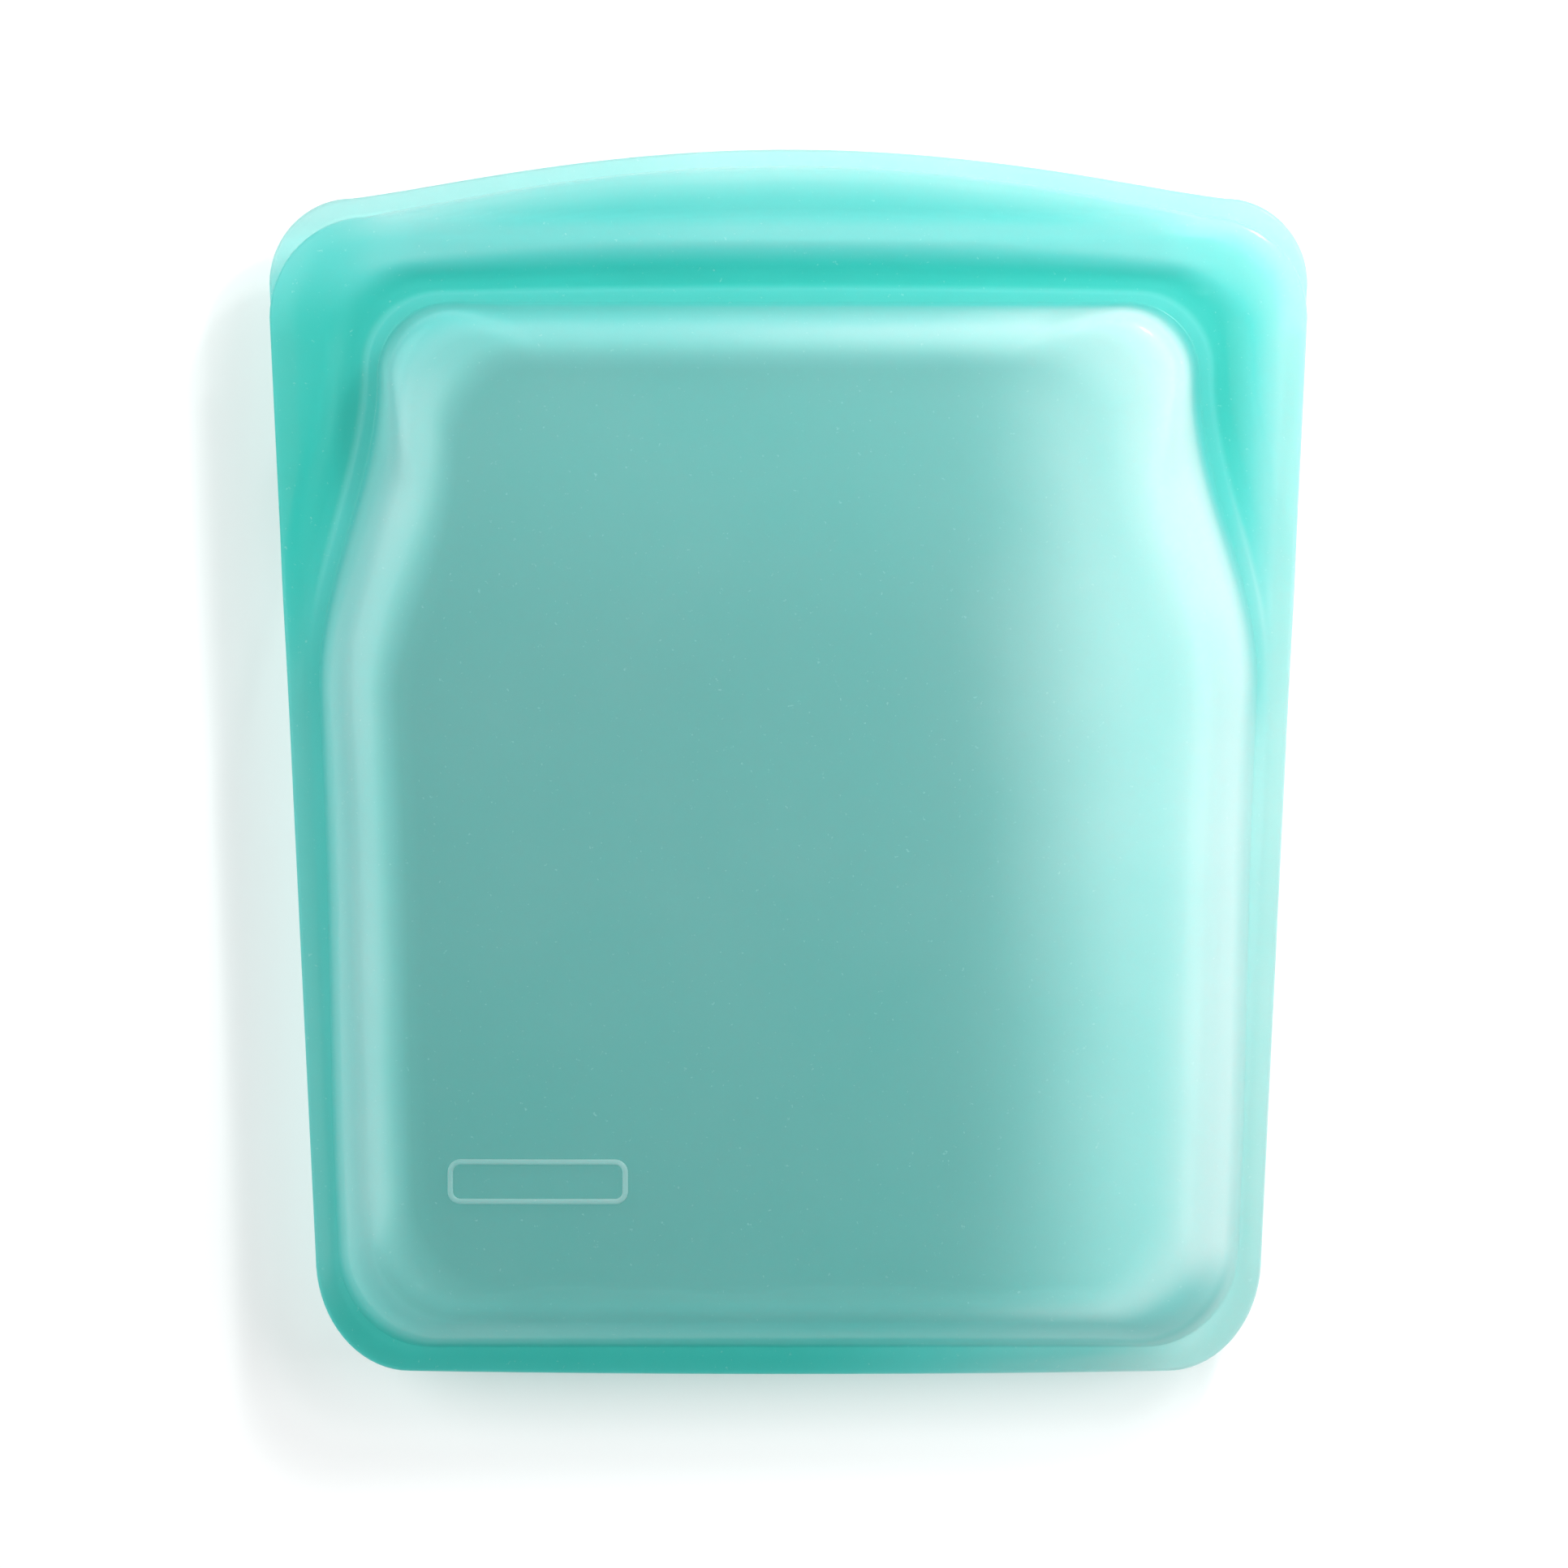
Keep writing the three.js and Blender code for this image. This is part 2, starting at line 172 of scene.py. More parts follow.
def outline(top_y, bottom_y, half, top_corner, bottom_corner):
    """Points round a closed outline, clockwise from its top's middle, as an array of x and y."""
    top_end = half(top_y(0.0) - top_corner[1]) - top_corner[0]
    bottom_end = half(bottom_y(0.0) + bottom_corner[1]) - bottom_corner[0]
    side_top = top_y(top_end) - top_corner[1]
    side_bottom = bottom_y(bottom_end) + bottom_corner[1]

    def share(part):
        return np.arange(COUNTS[part]) / COUNTS[part]

    x_top = top_end * share("top")
    turn = share("corner") * math.pi / 2
    y_side = side_top + (side_bottom - side_top) * share("side")
    x_bottom = bottom_end * (1 - share("bottom"))
    right = np.vstack([
        np.column_stack([x_top, top_y(x_top) + 0 * x_top]),
        np.column_stack([
            top_end + (half(side_top) - top_end) * np.sin(turn),
            side_top + top_corner[1] * np.cos(turn),
        ]),
        np.column_stack([half(y_side), y_side]),
        np.column_stack([
            bottom_end + (half(side_bottom) - bottom_end) * np.cos(turn),
            side_bottom - bottom_corner[1] * np.sin(turn),
        ]),
        np.column_stack([x_bottom, bottom_y(x_bottom) + 0 * x_bottom]),
        [[0.0, float(bottom_y(0.0))]],
    ])
    left = right[1:-1][::-1] * [-1, 1]
    return np.vstack([right, left])


def edge_outline(lip_y, inset):
    """The sheet's outer edge, drawn in by inset."""
    shoulder = lip_y - LIP_ARCH
    corner = FRONT_CORNER if lip_y == FRONT_LIP_Y else BACK_CORNER
    return outline(
        lambda x: shoulder - inset + lip_arch(x),
        lambda x: BOTTOM_Y + inset + BOTTOM_BOW * (x / HALF_AT_FOOT) ** 2,
        lambda y: side_half(y) - inset,
        (corner - inset / 2, corner - inset / 2),
        (FOOT_CORNER[0] - inset / 2, FOOT_CORNER[1] - inset / 2),
    )


def foot_outline():
    """Where the pocket's wall meets the flange."""
    return outline(
        lambda x: POCKET_TOP_Y,
        lambda x: POCKET_BOTTOM_Y,
        pocket_half,
        POCKET_TOP_CORNER,
        POCKET_FOOT_CORNER,
    )


def floor_outline():
    """Where the pocket's wall has turned into its floor."""
    spread = (LEAN_TOP + LEAN_BOTTOM) / 2
    plan = outline(
        lambda x: POCKET_TOP_Y - LEAN_TOP,
        lambda x: POCKET_BOTTOM_Y + LEAN_BOTTOM,
        lambda y: pocket_half(y + spread * smooth(y, *FLOOR_NARROWS)) - LEAN_SIDES,
        FLOOR_TOP_CORNER,
        FLOOR_FOOT_CORNER,
    )
    return plan + [FLOOR_ASIDE, 0]


# ---- the form of a moulded sheet ----

# Where the rings of points lie, as shares of the way from one outline to the next. On the
# flange and the wall they lie closest by the wall's foot, and on the floor by its edge.
FLANGE_STEPS = 1 - (1 - np.linspace(0, 1, 34)) ** 1.2
WALL_STEPS = np.linspace(0, 1, 30)[1:] ** 1.6
FLOOR_STEPS = np.linspace(0, 1, 18)[1:-1] ** 1.15
FRONT_CROWN = 1.8  # how far the flange's wings rise above its face
BACK_CROWN = 0.8
WING_RISES = (-9, 8)  # from the sheet's edge
RIM_SWELL = 1.0  # the narrow rims rise towards the pocket
FILLET = 0.08  # the wall turns up from the flange within twice this share of its run
SHOULDER = 4.0  # the higher this is, the nearer to its foot the wall turns over
CORNER_SHOULDER = 9.0  # added to it in the corners by the mouth
CORNER_X = (56, 76)
CORNER_Y = (60, 84)
VALLEY_RISES = (5.6, 13.0)  # from the pocket's foot
SHELF = {"wide": 2.3, "slope": 1.8, "height": 0.4}
SHELF_RISES = (20, 60)
SHELF_LOWERS = (40, 75)  # to the right it is lower
SHELF_LOWER = 0.6
FLOOR_MIDDLE = (0.0, -12.0)
FLOOR_CROWN = 2.0  # the front floor's middle stands higher than its edge
CROWN_RISES = (-0.35, 0.5)  # from the floor's edge, at 0, to its middle, at 1
CALM_EDGE = (0, 0.25)  # the floor's waves come in over this stretch
CREASE_Y = -105.2
CREASE_DEEP = 0.22
CREASE_HALF = 1.1
CREASE_ENDS = (56, 72)


def across(a, b, steps):
    return a[None] + (b - a)[None] * steps[:, None, None]


def mouth_share(x):
    """1 across the mouth, 0 at the welded corners."""
    return 1 - smooth(np.abs(x), *MOUTH_FADE)


def lip_lift(x, y, lift):
    reach = np.clip(1 - (x / LIP_LIFT_HALF) ** 2, 0, None)
    return lift * reach * smooth(y, *LIP_LIFTS)


def distances(xy):
    """How far each point of the flange is from the sheet's edge, and from the pocket's foot."""
    width = np.linalg.norm(xy[0] - xy[-1], axis=1)[None]
    s = FLANGE_STEPS[:, None]
    return s * width, (1 - s) * width


def flange_heights(xy, lift, crown):
    """Heights above the flange's face, from the sheet's edge to the foot of the pocket's wall. Round
    the pocket's top runs a valley. Beyond it are the closure's ridge and, to both sides, the wings."""
    x, y = xy[..., 0], xy[..., 1]
    from_edge, from_foot = distances(xy)
    at_mouth = mouth_share(x) * smooth(y, *RIDGE_RISES)
    rise = smooth(from_foot, *VALLEY_RISES)
    wing = crown * smooth(from_edge, *WING_RISES)
    ridge = CLOSURE_BULGE * (1 - RIDGE_FALL * smooth(y, *RIDGE_FALLS))
    broad = smooth(y, *FLANGE_BROADENS)
    rim = RIM_SWELL * np.sin(np.pi / 2 * FLANGE_STEPS[:, None]) * (1 - broad)
    raised = rise * mix(wing, ridge, at_mouth) * broad
    return raised + rim * crown / CLOSURE_BULGE + lip_lift(x, y, lift)


def shelf_share(from_foot):
    """1 on the shelf and 0 beyond it."""
    return 1 - smooth(from_foot, SHELF["wide"], SHELF["wide"] + SHELF["slope"])


def shelf_heights(xy):
    """A low step that follows the pocket round its top, between its wall and the valley."""
    height = SHELF["height"] * (1 - SHELF_LOWER * smooth(xy[..., 0], *SHELF_LOWERS))
    return height * shelf_share(distances(xy)[1]) * smooth(xy[..., 1], *SHELF_RISES)


def wall_rise(foot):
    """The wall's profile above each point of its foot: a short fillet, then a steep rise that turns
    over towards the floor. It turns over soonest in the two corners by the mouth."""
    t = WALL_STEPS[:, None]
    corner = smooth(np.abs(foot[:, 0]), *CORNER_X) * smooth(foot[:, 1], *CORNER_Y)
    return (1 - (1 - t) ** (SHOULDER + CORNER_SHOULDER * corner)) * smooth(t, -FILLET, FILLET * 2)


def floor_waves(x, y):
    """The slow unevenness of a soft floor."""
    return (
        0.35 * np.sin(x / 31 + 0.6) * np.sin(y / 43 + 0.4)
        + 0.22 * np.sin((x + y) / 22 + 1.1)
        + 0.12 * np.sin((x - 0.6 * y) / 11)
    )


def foot_crease(x, y):
    """A faint wavy crease across the floor, just above the foot of the bag."""
    line = CREASE_Y + 0.7 * np.sin(x / 8.5) + 0.4 * np.sin(x / 3.9 + 1)
    dip = CREASE_DEEP * np.exp(-(((y - line) / CREASE_HALF) ** 2))
    return -dip * (1 - smooth(np.abs(x), *CREASE_ENDS))


def sheet_surface(lip_y, lift, crown, soft_floor, detail):
    """The outer face as rings of points, from the edge to the floor's middle. The third number of
    each point is its height over the flange's face."""
    edge, foot, floor = edge_outline(lip_y, RIM_ROUND), foot_outline(), floor_outline()
    flange = across(edge, foot, FLANGE_STEPS)
    wall = across(foot, floor, WALL_STEPS)
    middle = np.array(FLOOR_MIDDLE) + 0 * floor
    ground = across(floor, middle, FLOOR_STEPS)

    edge_drop = FLOOR_CROWN * soft_floor
    low_floor = FLOOR_RISE - edge_drop
    up = wall_rise(foot)
    crown_up = edge_drop * smooth(FLOOR_STEPS, *CROWN_RISES)[:, None]
    calm = smooth(FLOOR_STEPS, *CALM_EDGE)[:, None]
    waves = floor_waves(ground[..., 0], ground[..., 1]) * calm
    wall_top = low_floor + edge_drop * smooth(0.0, *CROWN_RISES)
    on_flange = flange_heights(flange, lift, crown)
    heights = np.vstack([
        on_flange,
        mix(on_flange[-1], wall_top, up),
        low_floor + crown_up + soft_floor * waves,
    ])
    points = np.vstack([flange, wall, ground])
    if detail:
        heights[:len(FLANGE_STEPS)] += shelf_heights(flange)
        heights[len(FLANGE_STEPS):][:len(up)] += shelf_heights(flange)[-1] * (1 - up)
        heights[len(FLANGE_STEPS):] += foot_crease(
            points[len(FLANGE_STEPS):, :, 0], points[len(FLANGE_STEPS):, :, 1]
        )
    return np.dstack([points, heights])


def surface_normals(rings):
    """Unit normals of a lattice of rings, pointing to the side that heights grow towards."""
    round_ = np.roll(rings, -1, axis=1) - np.roll(rings, 1, axis=1)
    inward = np.gradient(rings, axis=0)
    normal = np.cross(round_, inward)
    normal /= np.linalg.norm(normal, axis=2, keepdims=True) + 1e-12
    return normal * np.sign(normal[..., 2:].mean())


# ---- the colour of a moulded sheet ----

# A depth of colour is a place on the scale of STOPS, and a clearness is how much of a face is seen
# through. A pair of numbers is mostly the stretch over which a change comes in: in millimetres across
# the bag, along it or from an edge, or as a share of the wall's run from its foot to the floor.

RIM_DEPTH = 0.42  # on the narrow rims
BROAD_DEPTH = 0.83  # on the broad flange by the mouth
BROAD_BEGINS = (-5, 62)
BROAD_EDGE_BEGINS = (-5, 50)
FOOT_RIM = (98, 116)
# painted shade and painted light: the bottom rim is painted deeper on its left half, where shade falls, and
# paler on its right half, where the lamps reach
FOOT_RIM_PAINTED_SHADE = 0.36
FOOT_RIM_PAINTED_LIGHT = 0.12  # on its right half
# painted shade: the left side of the flange is painted deeper, on its narrow rim and beside the pocket's
# wall, away from the lamps
LEFT_NECK_PAINTED_SHADE = 0.12
LEFT_RIM_PAINTED_SHADE = 0.07
MIDDLE_DEEPER = 0.07  # in the middle of the valley by the mouth
SHADED_LEFT = (-60, 0)
# painted light: towards the right the flange is painted paler, and its right edge palest, where the lamps
# fall
LIT_RIGHT = (40, 90)
LIT_RIGHT_REACH = (8, 20)  # on the narrow rims the paler right reaches in further: at the foot, and above
EDGE_PALER = 0.02
UPPER_EDGE_PALER = 0.03
LIT_RIGHT_EDGE_DEPTH = 0.04
UPPER_RIGHT_EDGE_DEEPER = 0.09
PALE_EDGE = (0.5, 3.0)  # from the edge inwards, the full depth comes in over this stretch
PALE_EDGE_WIDENS = 10.0  # on the broad flange it ends this much further in
LIT_RIGHT_EDGE_IN = 3.0  # and on the right, this much further again
SHELF_PALER = 0.25
SHELF_LINE_PAINTED_HIGHLIGHT = 0.1
SHELF_HIGHLIGHT_LINE = {"out": 0.4, "half": 0.5}  # a painted highlight: a pale line just past the shelf's flat
RIDGE_DEPTH = 0.36
LIP_ROOT_DEPTH = 0.44
PAST_VALLEY = (7.0, 12.6)
LIPS = {
    "front": {"depth": 0.14, "deepens": (0.4, 6.6), "fades": 0.5},
    "back": {"depth": 0.13, "deepens": (4.5, 8.5), "fades": 0.0},
}


def flange_depth(xy, face):
    """How deep the colour is on the flange. Round the pocket's top runs the deep valley, and beyond it
    are the paler ridge and the lip."""
    x, y = xy[..., 0], xy[..., 1]
    from_edge, from_foot = distances(xy)
    broad = smooth(y, *BROAD_BEGINS)
    broad_edge = smooth(y, *BROAD_EDGE_BEGINS)
    upper = smooth(y, 0, 60)
    foot_rim = smooth(-y, *FOOT_RIM)
    left = 1 - smooth(x, *SHADED_LEFT)
    # painted light: the paler right side of the flange
    reach = mix(*LIT_RIGHT_REACH, smooth(y, -118, -92)) * (1 - broad_edge)
    right = smooth(x + reach, *LIT_RIGHT)

    # painted shade on the bottom rim's left half, painted light on its right half
    shaded_foot_left = foot_rim * (1 - smooth(x, -10, 55))
    lit_foot_right = foot_rim * smooth(x, 0, 50)
    # painted shade on the left rim and on the left flange beside the pocket's wall
    shaded_left_rim = left * (1 - broad) * (1 - foot_rim)
    shaded_by_neck = left * smooth(from_foot, 1, 12) * hump(y, (0, 45), (50, 78))
    valley_middle = smooth(y, 84, 94) * (1 - smooth(np.abs(x), 10, 60))
    deep = mix(RIM_DEPTH, BROAD_DEPTH, broad)
    deep += FOOT_RIM_PAINTED_SHADE * shaded_foot_left - FOOT_RIM_PAINTED_LIGHT * lit_foot_right
    deep += LEFT_RIM_PAINTED_SHADE * shaded_left_rim + LEFT_NECK_PAINTED_SHADE * shaded_by_neck + MIDDLE_DEEPER * valley_middle

    left_edge = deep - EDGE_PALER - UPPER_EDGE_PALER * upper
    # painted highlight: the right edge is painted nearly as pale as the palest colour
    lit_right_edge = LIT_RIGHT_EDGE_DEPTH + UPPER_RIGHT_EDGE_DEEPER * upper
    edge = mix(left_edge, lit_right_edge, right)
    starts, full = PALE_EDGE
    full = full + (PALE_EDGE_WIDENS + LIT_RIGHT_EDGE_IN * right) * broad_edge
    deepens = smooth(from_edge - LIT_RIGHT_EDGE_IN * right, starts, full)
    valley = mix(edge, deep, deepens * (1 - right * (1 - broad_edge)))

    # painted highlight: a pale line along the shelf's edge
    line_at = SHELF["wide"] + SHELF_HIGHLIGHT_LINE["out"]
    line = np.exp(-(((from_foot - line_at) / SHELF_HIGHLIGHT_LINE["half"]) ** 2))
    paler = SHELF_PALER * shelf_share(from_foot) + SHELF_LINE_PAINTED_HIGHLIGHT * line
    valley -= paler * smooth(y, 15, 50)

    ridge = mix(RIDGE_DEPTH, LIP_ROOT_DEPTH, smooth(y, 107, 110))
    lip = mix(LIPS[face]["depth"], ridge, smooth(from_edge, *LIPS[face]["deepens"]))
    past_valley = smooth(from_foot, *PAST_VALLEY) * smooth(y, 86, 102)
    across_mouth = 1 - LIPS[face]["fades"] * smooth(np.abs(x), 80, 98)
    return mix(valley, lip, past_valley * across_mouth)


FLOOR_DEPTH = 0.26
FLOOR_RIGHT_PAINTED_LIGHT = 0.20
FLOOR_FOOT_PAINTED_SHADE = 0.05


def floor_depth(xy):
    """How deep the colour is on the pocket's floor: painted paler towards the right, as painted light, and
    deeper towards the foot, as painted shade.
    """
    paler = FLOOR_RIGHT_PAINTED_LIGHT * smooth(xy[..., 0], 10, 80)
    return FLOOR_DEPTH - paler + FLOOR_FOOT_PAINTED_SHADE * smooth(-xy[..., 1], 0, 90)


# painted shade: the wall is painted deeper on its left, its bottom left and its top left
WALL_LEFT_PAINTED_SHADE = 0.15  # on the left
LOW_WALL_PAINTED_SHADE = 0.14
TOP_WALL_DEEPER = 0.07
TOP_LEFT_PAINTED_SHADE = 0.07
STEEP_DEEPER = 0.14  # on the steep part of the wall, just above its foot
LOW_STEEP_DEEPER = 0.24
WALL_LATE = 0.22  # the left wall takes on the floor's look this much nearer to the floor


def wall_late(x):
    return WALL_LATE * smooth(-x, 50, 75)


def wall_depth(xy, foot, floor_edge):
    """How deep the colour is on the pocket's wall, from its foot to the floor's edge. It is painted deeper
    on the left, along the bottom left and at the top left, as painted shade, and paler on the right, as
    painted light.
    """
    x, y = xy[..., 0], xy[..., 1]
    t = WALL_STEPS[:, None]
    shaded_to_left = 1 - smooth(x, -50, 70)
    low = smooth(-y, 88, 112) * (1 - smooth(x, 0, 75))
    top = smooth(y, 72, 88)
    shaded_top_left = top * (1 - smooth(x, *SHADED_LEFT))
    steep = hump(t, (0.02, 0.12), (0.2, 0.42)) * (1 - smooth(x, 0, 70))
    low_steep = hump(t, (0.02, 0.1), (0.32, 0.6)) * smooth(-y, 96, 110) * smooth(x, -70, 30)
    own = WALL_LEFT_PAINTED_SHADE * shaded_to_left + LOW_WALL_PAINTED_SHADE * low
    own += TOP_WALL_DEEPER * top + TOP_LEFT_PAINTED_SHADE * shaded_top_left
    own += STEEP_DEEPER * steep + LOW_STEEP_DEEPER * low_steep
    above_foot = smooth(t, 0.0, 0.12)
    like_floor = smooth(t - wall_late(x), 0.35, 0.88)
    return mix(mix(foot, own, above_foot), floor_edge, like_floor)


CLEAREST = 0.6  # the left of the pocket's floor
MILKIEST_FLOOR = 0.38
MILKY_AT_TOP = 0.25  # the share of the change from clear to milky that is made by the mouth
FLANGE_CLEAR = 0.36
CLOSURE_LESS_CLEAR = 0.26
BACK_LESS_CLEAR = 0.16  # the back lip
BARE_CLEARER = 0.3  # where no front lip lies over it
STEEP_LESS_CLEAR = 0.6  # the share that the steep part of the wall loses
WALL_LESS_CLEAR = 0.08
LOW_WALL_CLEARER = 0.22


def flange_clear(xy, face):
    """How clear the flange is. It is milkiest along the closure."""
    x, y = xy[..., 0], xy[..., 1]
    closed = smooth(y, 98, 101) * mouth_share(x)
    on_lip = smooth(y, 109.5, 111.5) * mouth_share(x * 0.9)
    clear = FLANGE_CLEAR - CLOSURE_LESS_CLEAR * closed * (1 - on_lip)
    if face == "back":
        bare = 1 - smooth(distances(xy)[0], 3.5, 6.5)
        back_lip = smooth(y, 104, 110)
        clear += (BARE_CLEARER * bare - BACK_LESS_CLEAR) * back_lip
    return clear


def pocket_clear(xy):
    """How clear the pocket's floor is, and the wall where it has turned into the floor."""
    # painted light and shade: the floor is milkier and paler to the right and towards the mouth, and clearer
    # and darker to the lower left
    lit_to_right = smooth(xy[..., 0], 30, 76)
    milky = mix(lit_to_right, 1, MILKY_AT_TOP * smooth(xy[..., 1], 10, 75))
    return mix(CLEAREST, MILKIEST_FLOOR, milky)


def wall_clear(xy):
    """How clear the pocket's wall is."""
    x, y = xy[..., 0], xy[..., 1]
    t = WALL_STEPS[:, None]
    low_wall = smooth(-y, 85, 108) * (1 - smooth(x, 20, 80))
    above_foot = smooth(t, 0, 0.15)
    steep = hump(t, (0.04, 0.14), (0.3, 0.5))
    like_floor = smooth(t - wall_late(x), 0.2, 0.88)
    clear = FLANGE_CLEAR + (LOW_WALL_CLEARER * low_wall - WALL_LESS_CLEAR) * above_foot
    return mix(clear * (1 - STEEP_LESS_CLEAR * steep), pocket_clear(xy), like_floor)


def sheet_colour(rings, face):
    """How deep the colour is, and how clear the silicone is, at each point of the rings."""
    ends = [len(FLANGE_STEPS), len(FLANGE_STEPS) + len(WALL_STEPS)]
    flange, wall, ground = np.split(rings[..., :2], ends)
    on_flange, on_floor = flange_depth(flange, face), floor_depth(ground)
    on_wall = wall_depth(wall, on_flange[-1], on_floor[0])
    depth = np.vstack([on_flange, on_wall, on_floor])
    clear = np.vstack([flange_clear(flange, face), wall_clear(wall), pocket_clear(ground)])
    return depth, clear


# ---- meshes ----


def new_mesh(name, verts, faces, **values):
    """A smooth mesh object, from points in millimetres, with one float attribute for each of values."""
    mesh = bpy.data.meshes.new(name)
    mesh.from_pydata((np.asarray(verts, float) * MM).tolist(), [], [list(f) for f in faces])
    mesh.polygons.foreach_set("use_smooth", [True] * len(mesh.polygons))
    for key, numbers in values.items():
        attribute = mesh.attributes.new(key, "FLOAT", "POINT")
        attribute.data.foreach_set("value", np.asarray(numbers, np.float32))
    mesh.update()
    obj = bpy.data.objects.new(name, mesh)
    bpy.context.scene.collection.objects.link(obj)
    return obj


def lattice_faces(loops, count, flip=False):
    """Quads between each loop of count points and the next."""
    faces = []
    for k in range(loops - 1):
        for i in range(count):
            j = (i + 1) % count
            quad = (k * count + i, k * count + j, (k + 1) * count + j, (k + 1) * count + i)
            faces.append(quad[::-1] if flip else quad)
    return faces


def closed_tube(loops, flip):
    """Points and faces of a stack of loops, closed with a fan at each end."""
    loops = np.asarray(loops)
    rows, count = loops.shape[:2]
    verts = np.vstack([loops.reshape(-1, 3), loops[0].mean(0), loops[-1].mean(0)])
    faces = lattice_faces(rows, count, flip)
    first, last = rows * count, rows * count + 1
    for i in range(count):
        j = (i + 1) % count
        start = (first, j, i)
        end = (last, (rows - 1) * count + i, (rows - 1) * count + j)
        faces += [start[::-1] if flip else start, end[::-1] if flip else end]
    return verts, faces


RIM_TURNS = np.radians([66, 42, 20, 0, -20, -42, -66])


def moulded_sheet(name, face, lip_y, lift, crown, soft_floor):
    """A sheet of nearly even thickness with a rounded rim. face is "front" or "back"."""
    side = 1 if face == "front" else -1
    outer = sheet_surface(lip_y, lift, crown, soft_floor, detail=True)
    plain = sheet_surface(lip_y, lift, crown, soft_floor, detail=False)
    depth, clear = sheet_colour(outer, face)
    normals = surface_normals(plain)
    inner = plain - normals * WALL

    round_ = np.roll(plain[0], -1, axis=0) - np.roll(plain[0], 1, axis=0)
    outwards = np.cross(normals[0], round_)
    outwards /= np.linalg.norm(outwards, axis=1, keepdims=True)
    outwards *= np.sign((outwards[:, :2] * plain[0, :, :2]).sum(1, keepdims=True))
    middle = (plain[0] + inner[0]) / 2
    rim = [
        middle + RIM_ROUND * (normals[0] * math.sin(a) + outwards * math.cos(a)) for a in RIM_TURNS
    ]
    loops = np.concatenate([outer[::-1], rim, inner])
    loops[..., 2] = RIM_Z + side * (FLANGE_FACE + loops[..., 2])
    verts, faces = closed_tube(loops, flip=side < 0)

    def spread(field):
        """A field of the outer face, given to every loop and to the two middles."""
        rows = np.concatenate([field[::-1], np.repeat(field[:1], len(rim), axis=0), field])
        return np.concatenate([rows.ravel(), [field[-1].mean()] * 2])

    return new_mesh(name, verts, faces, depth=spread(depth), clear=spread(clear))


END_TURNS = np.linspace(0, math.pi / 2, 5)[1:]
END_SIZE = 0.04  # the last ring of a rounded end, as a share of the section


def swept(name, path, section, closed=False):
    """A solid of one section, given across and up, along a path of points. It has rounded ends, or
    none where the path is closed."""
    path = np.asarray(path, float)
    section = np.asarray(section, float)
    if closed:
        ahead = np.roll(path, -1, axis=0) - np.roll(path, 1, axis=0)
    else:
        ahead = np.gradient(path, axis=0)
    ahead /= np.linalg.norm(ahead, axis=1, keepdims=True)
    side = np.cross(ahead, [0, 0, 1.0])
    side /= np.linalg.norm(side, axis=1, keepdims=True)
    up = np.cross(side, ahead)
    rings, sizes = list(zip(path, side, up)), [1.0] * len(path)
    if not closed:
        reach = np.abs(section[:, 0]).max()
        for turn in END_TURNS:
            step, size = reach * math.sin(turn), max(math.cos(turn), END_SIZE)
            rings.insert(0, (path[0] - ahead[0] * step, side[0], up[0]))
            rings.append((path[-1] + ahead[-1] * step, side[-1], up[-1]))
            sizes = [size, *sizes, size]
    loops = np.array([
        p + (s * section[:, :1] + u * section[:, 1:]) * size
        for (p, s, u), size in zip(rings, sizes)
    ])
    if not closed:
        verts, faces = closed_tube(loops, flip=True)
        return new_mesh(name, verts, faces)
    rows, count = loops.shape[:2]
    faces = lattice_faces(rows, count, True)
    last = (rows - 1) * count
    for i in range(count):
        j = (i + 1) % count
        faces.append((i, j, last + j, last + i))
    return new_mesh(name, loops.reshape(-1, 3), faces)


def rounded_box(half_wide, half_tall, radius, turns=4):
    """The outline of a rectangle with round corners, as points across and up."""
    points = []
    for corner, (sx, sy) in enumerate([(1, 1), (-1, 1), (-1, -1), (1, -1)]):
        for k in range(turns + 1):
            a = (corner + k / turns) * math.pi / 2
            points.append((
                sx * (half_wide - radius) + radius * math.cos(a),
                sy * (half_tall - radius) + radius * math.sin(a),
            ))
    return points


# ---- materials ----


def node(tree, kind, **settings):
    made = tree.nodes.new(kind)
    for key, value in settings.items():
        setattr(made, key, value)
    return made


def put(tree, socket, value):
    """Sets a socket to a number or a colour, or links it to an output."""
    if isinstance(value, bpy.types.NodeSocket):
        tree.links.new(value, socket)
    elif isinstance(value, tuple):
        socket.default_value = (*value, 1.0)
    else:
        socket.default_value = value


def mix_colour(tree, share, a, b, blend="MIX"):
    """A colour mix of a and b, each a colour or an output. share is a number or an output."""
    made = node(tree, "ShaderNodeMix", data_type="RGBA", blend_type=blend)
    for socket, value in zip((made.inputs[0], made.inputs[6], made.inputs[7]), (share, a, b)):
        put(tree, socket, value)
    return made.outputs[2]


def mix_shader(tree, share, a, b):
    """A mix of the shaders a and b. share is a number or an output."""
    made = node(tree, "ShaderNodeMixShader")
    for socket, value in zip(made.inputs, (share, a, b)):
        put(tree, socket, value)
    return made.outputs[0]


def noise(tree, scale, detail, roughness=0.5):
    where = node(tree, "ShaderNodeTexCoord")
    made = node(tree, "ShaderNodeTexNoise")
    made.inputs["Scale"].default_value = scale
    made.inputs["Detail"].default_value = detail
    made.inputs["Roughness"].default_value = roughness
    tree.links.new(where.outputs["Object"], made.inputs["Vector"])
    return made.outputs["Fac"]


def map_range(tree, value, from_range, to_range):
    made = node(tree, "ShaderNodeMapRange", clamp=True)
    tree.links.new(value, made.inputs["Value"])
    for key, number in zip(("From Min", "From Max", "To Min", "To Max"), (*from_range, *to_range)):
        made.inputs[key].default_value = number
    return made.outputs["Result"]


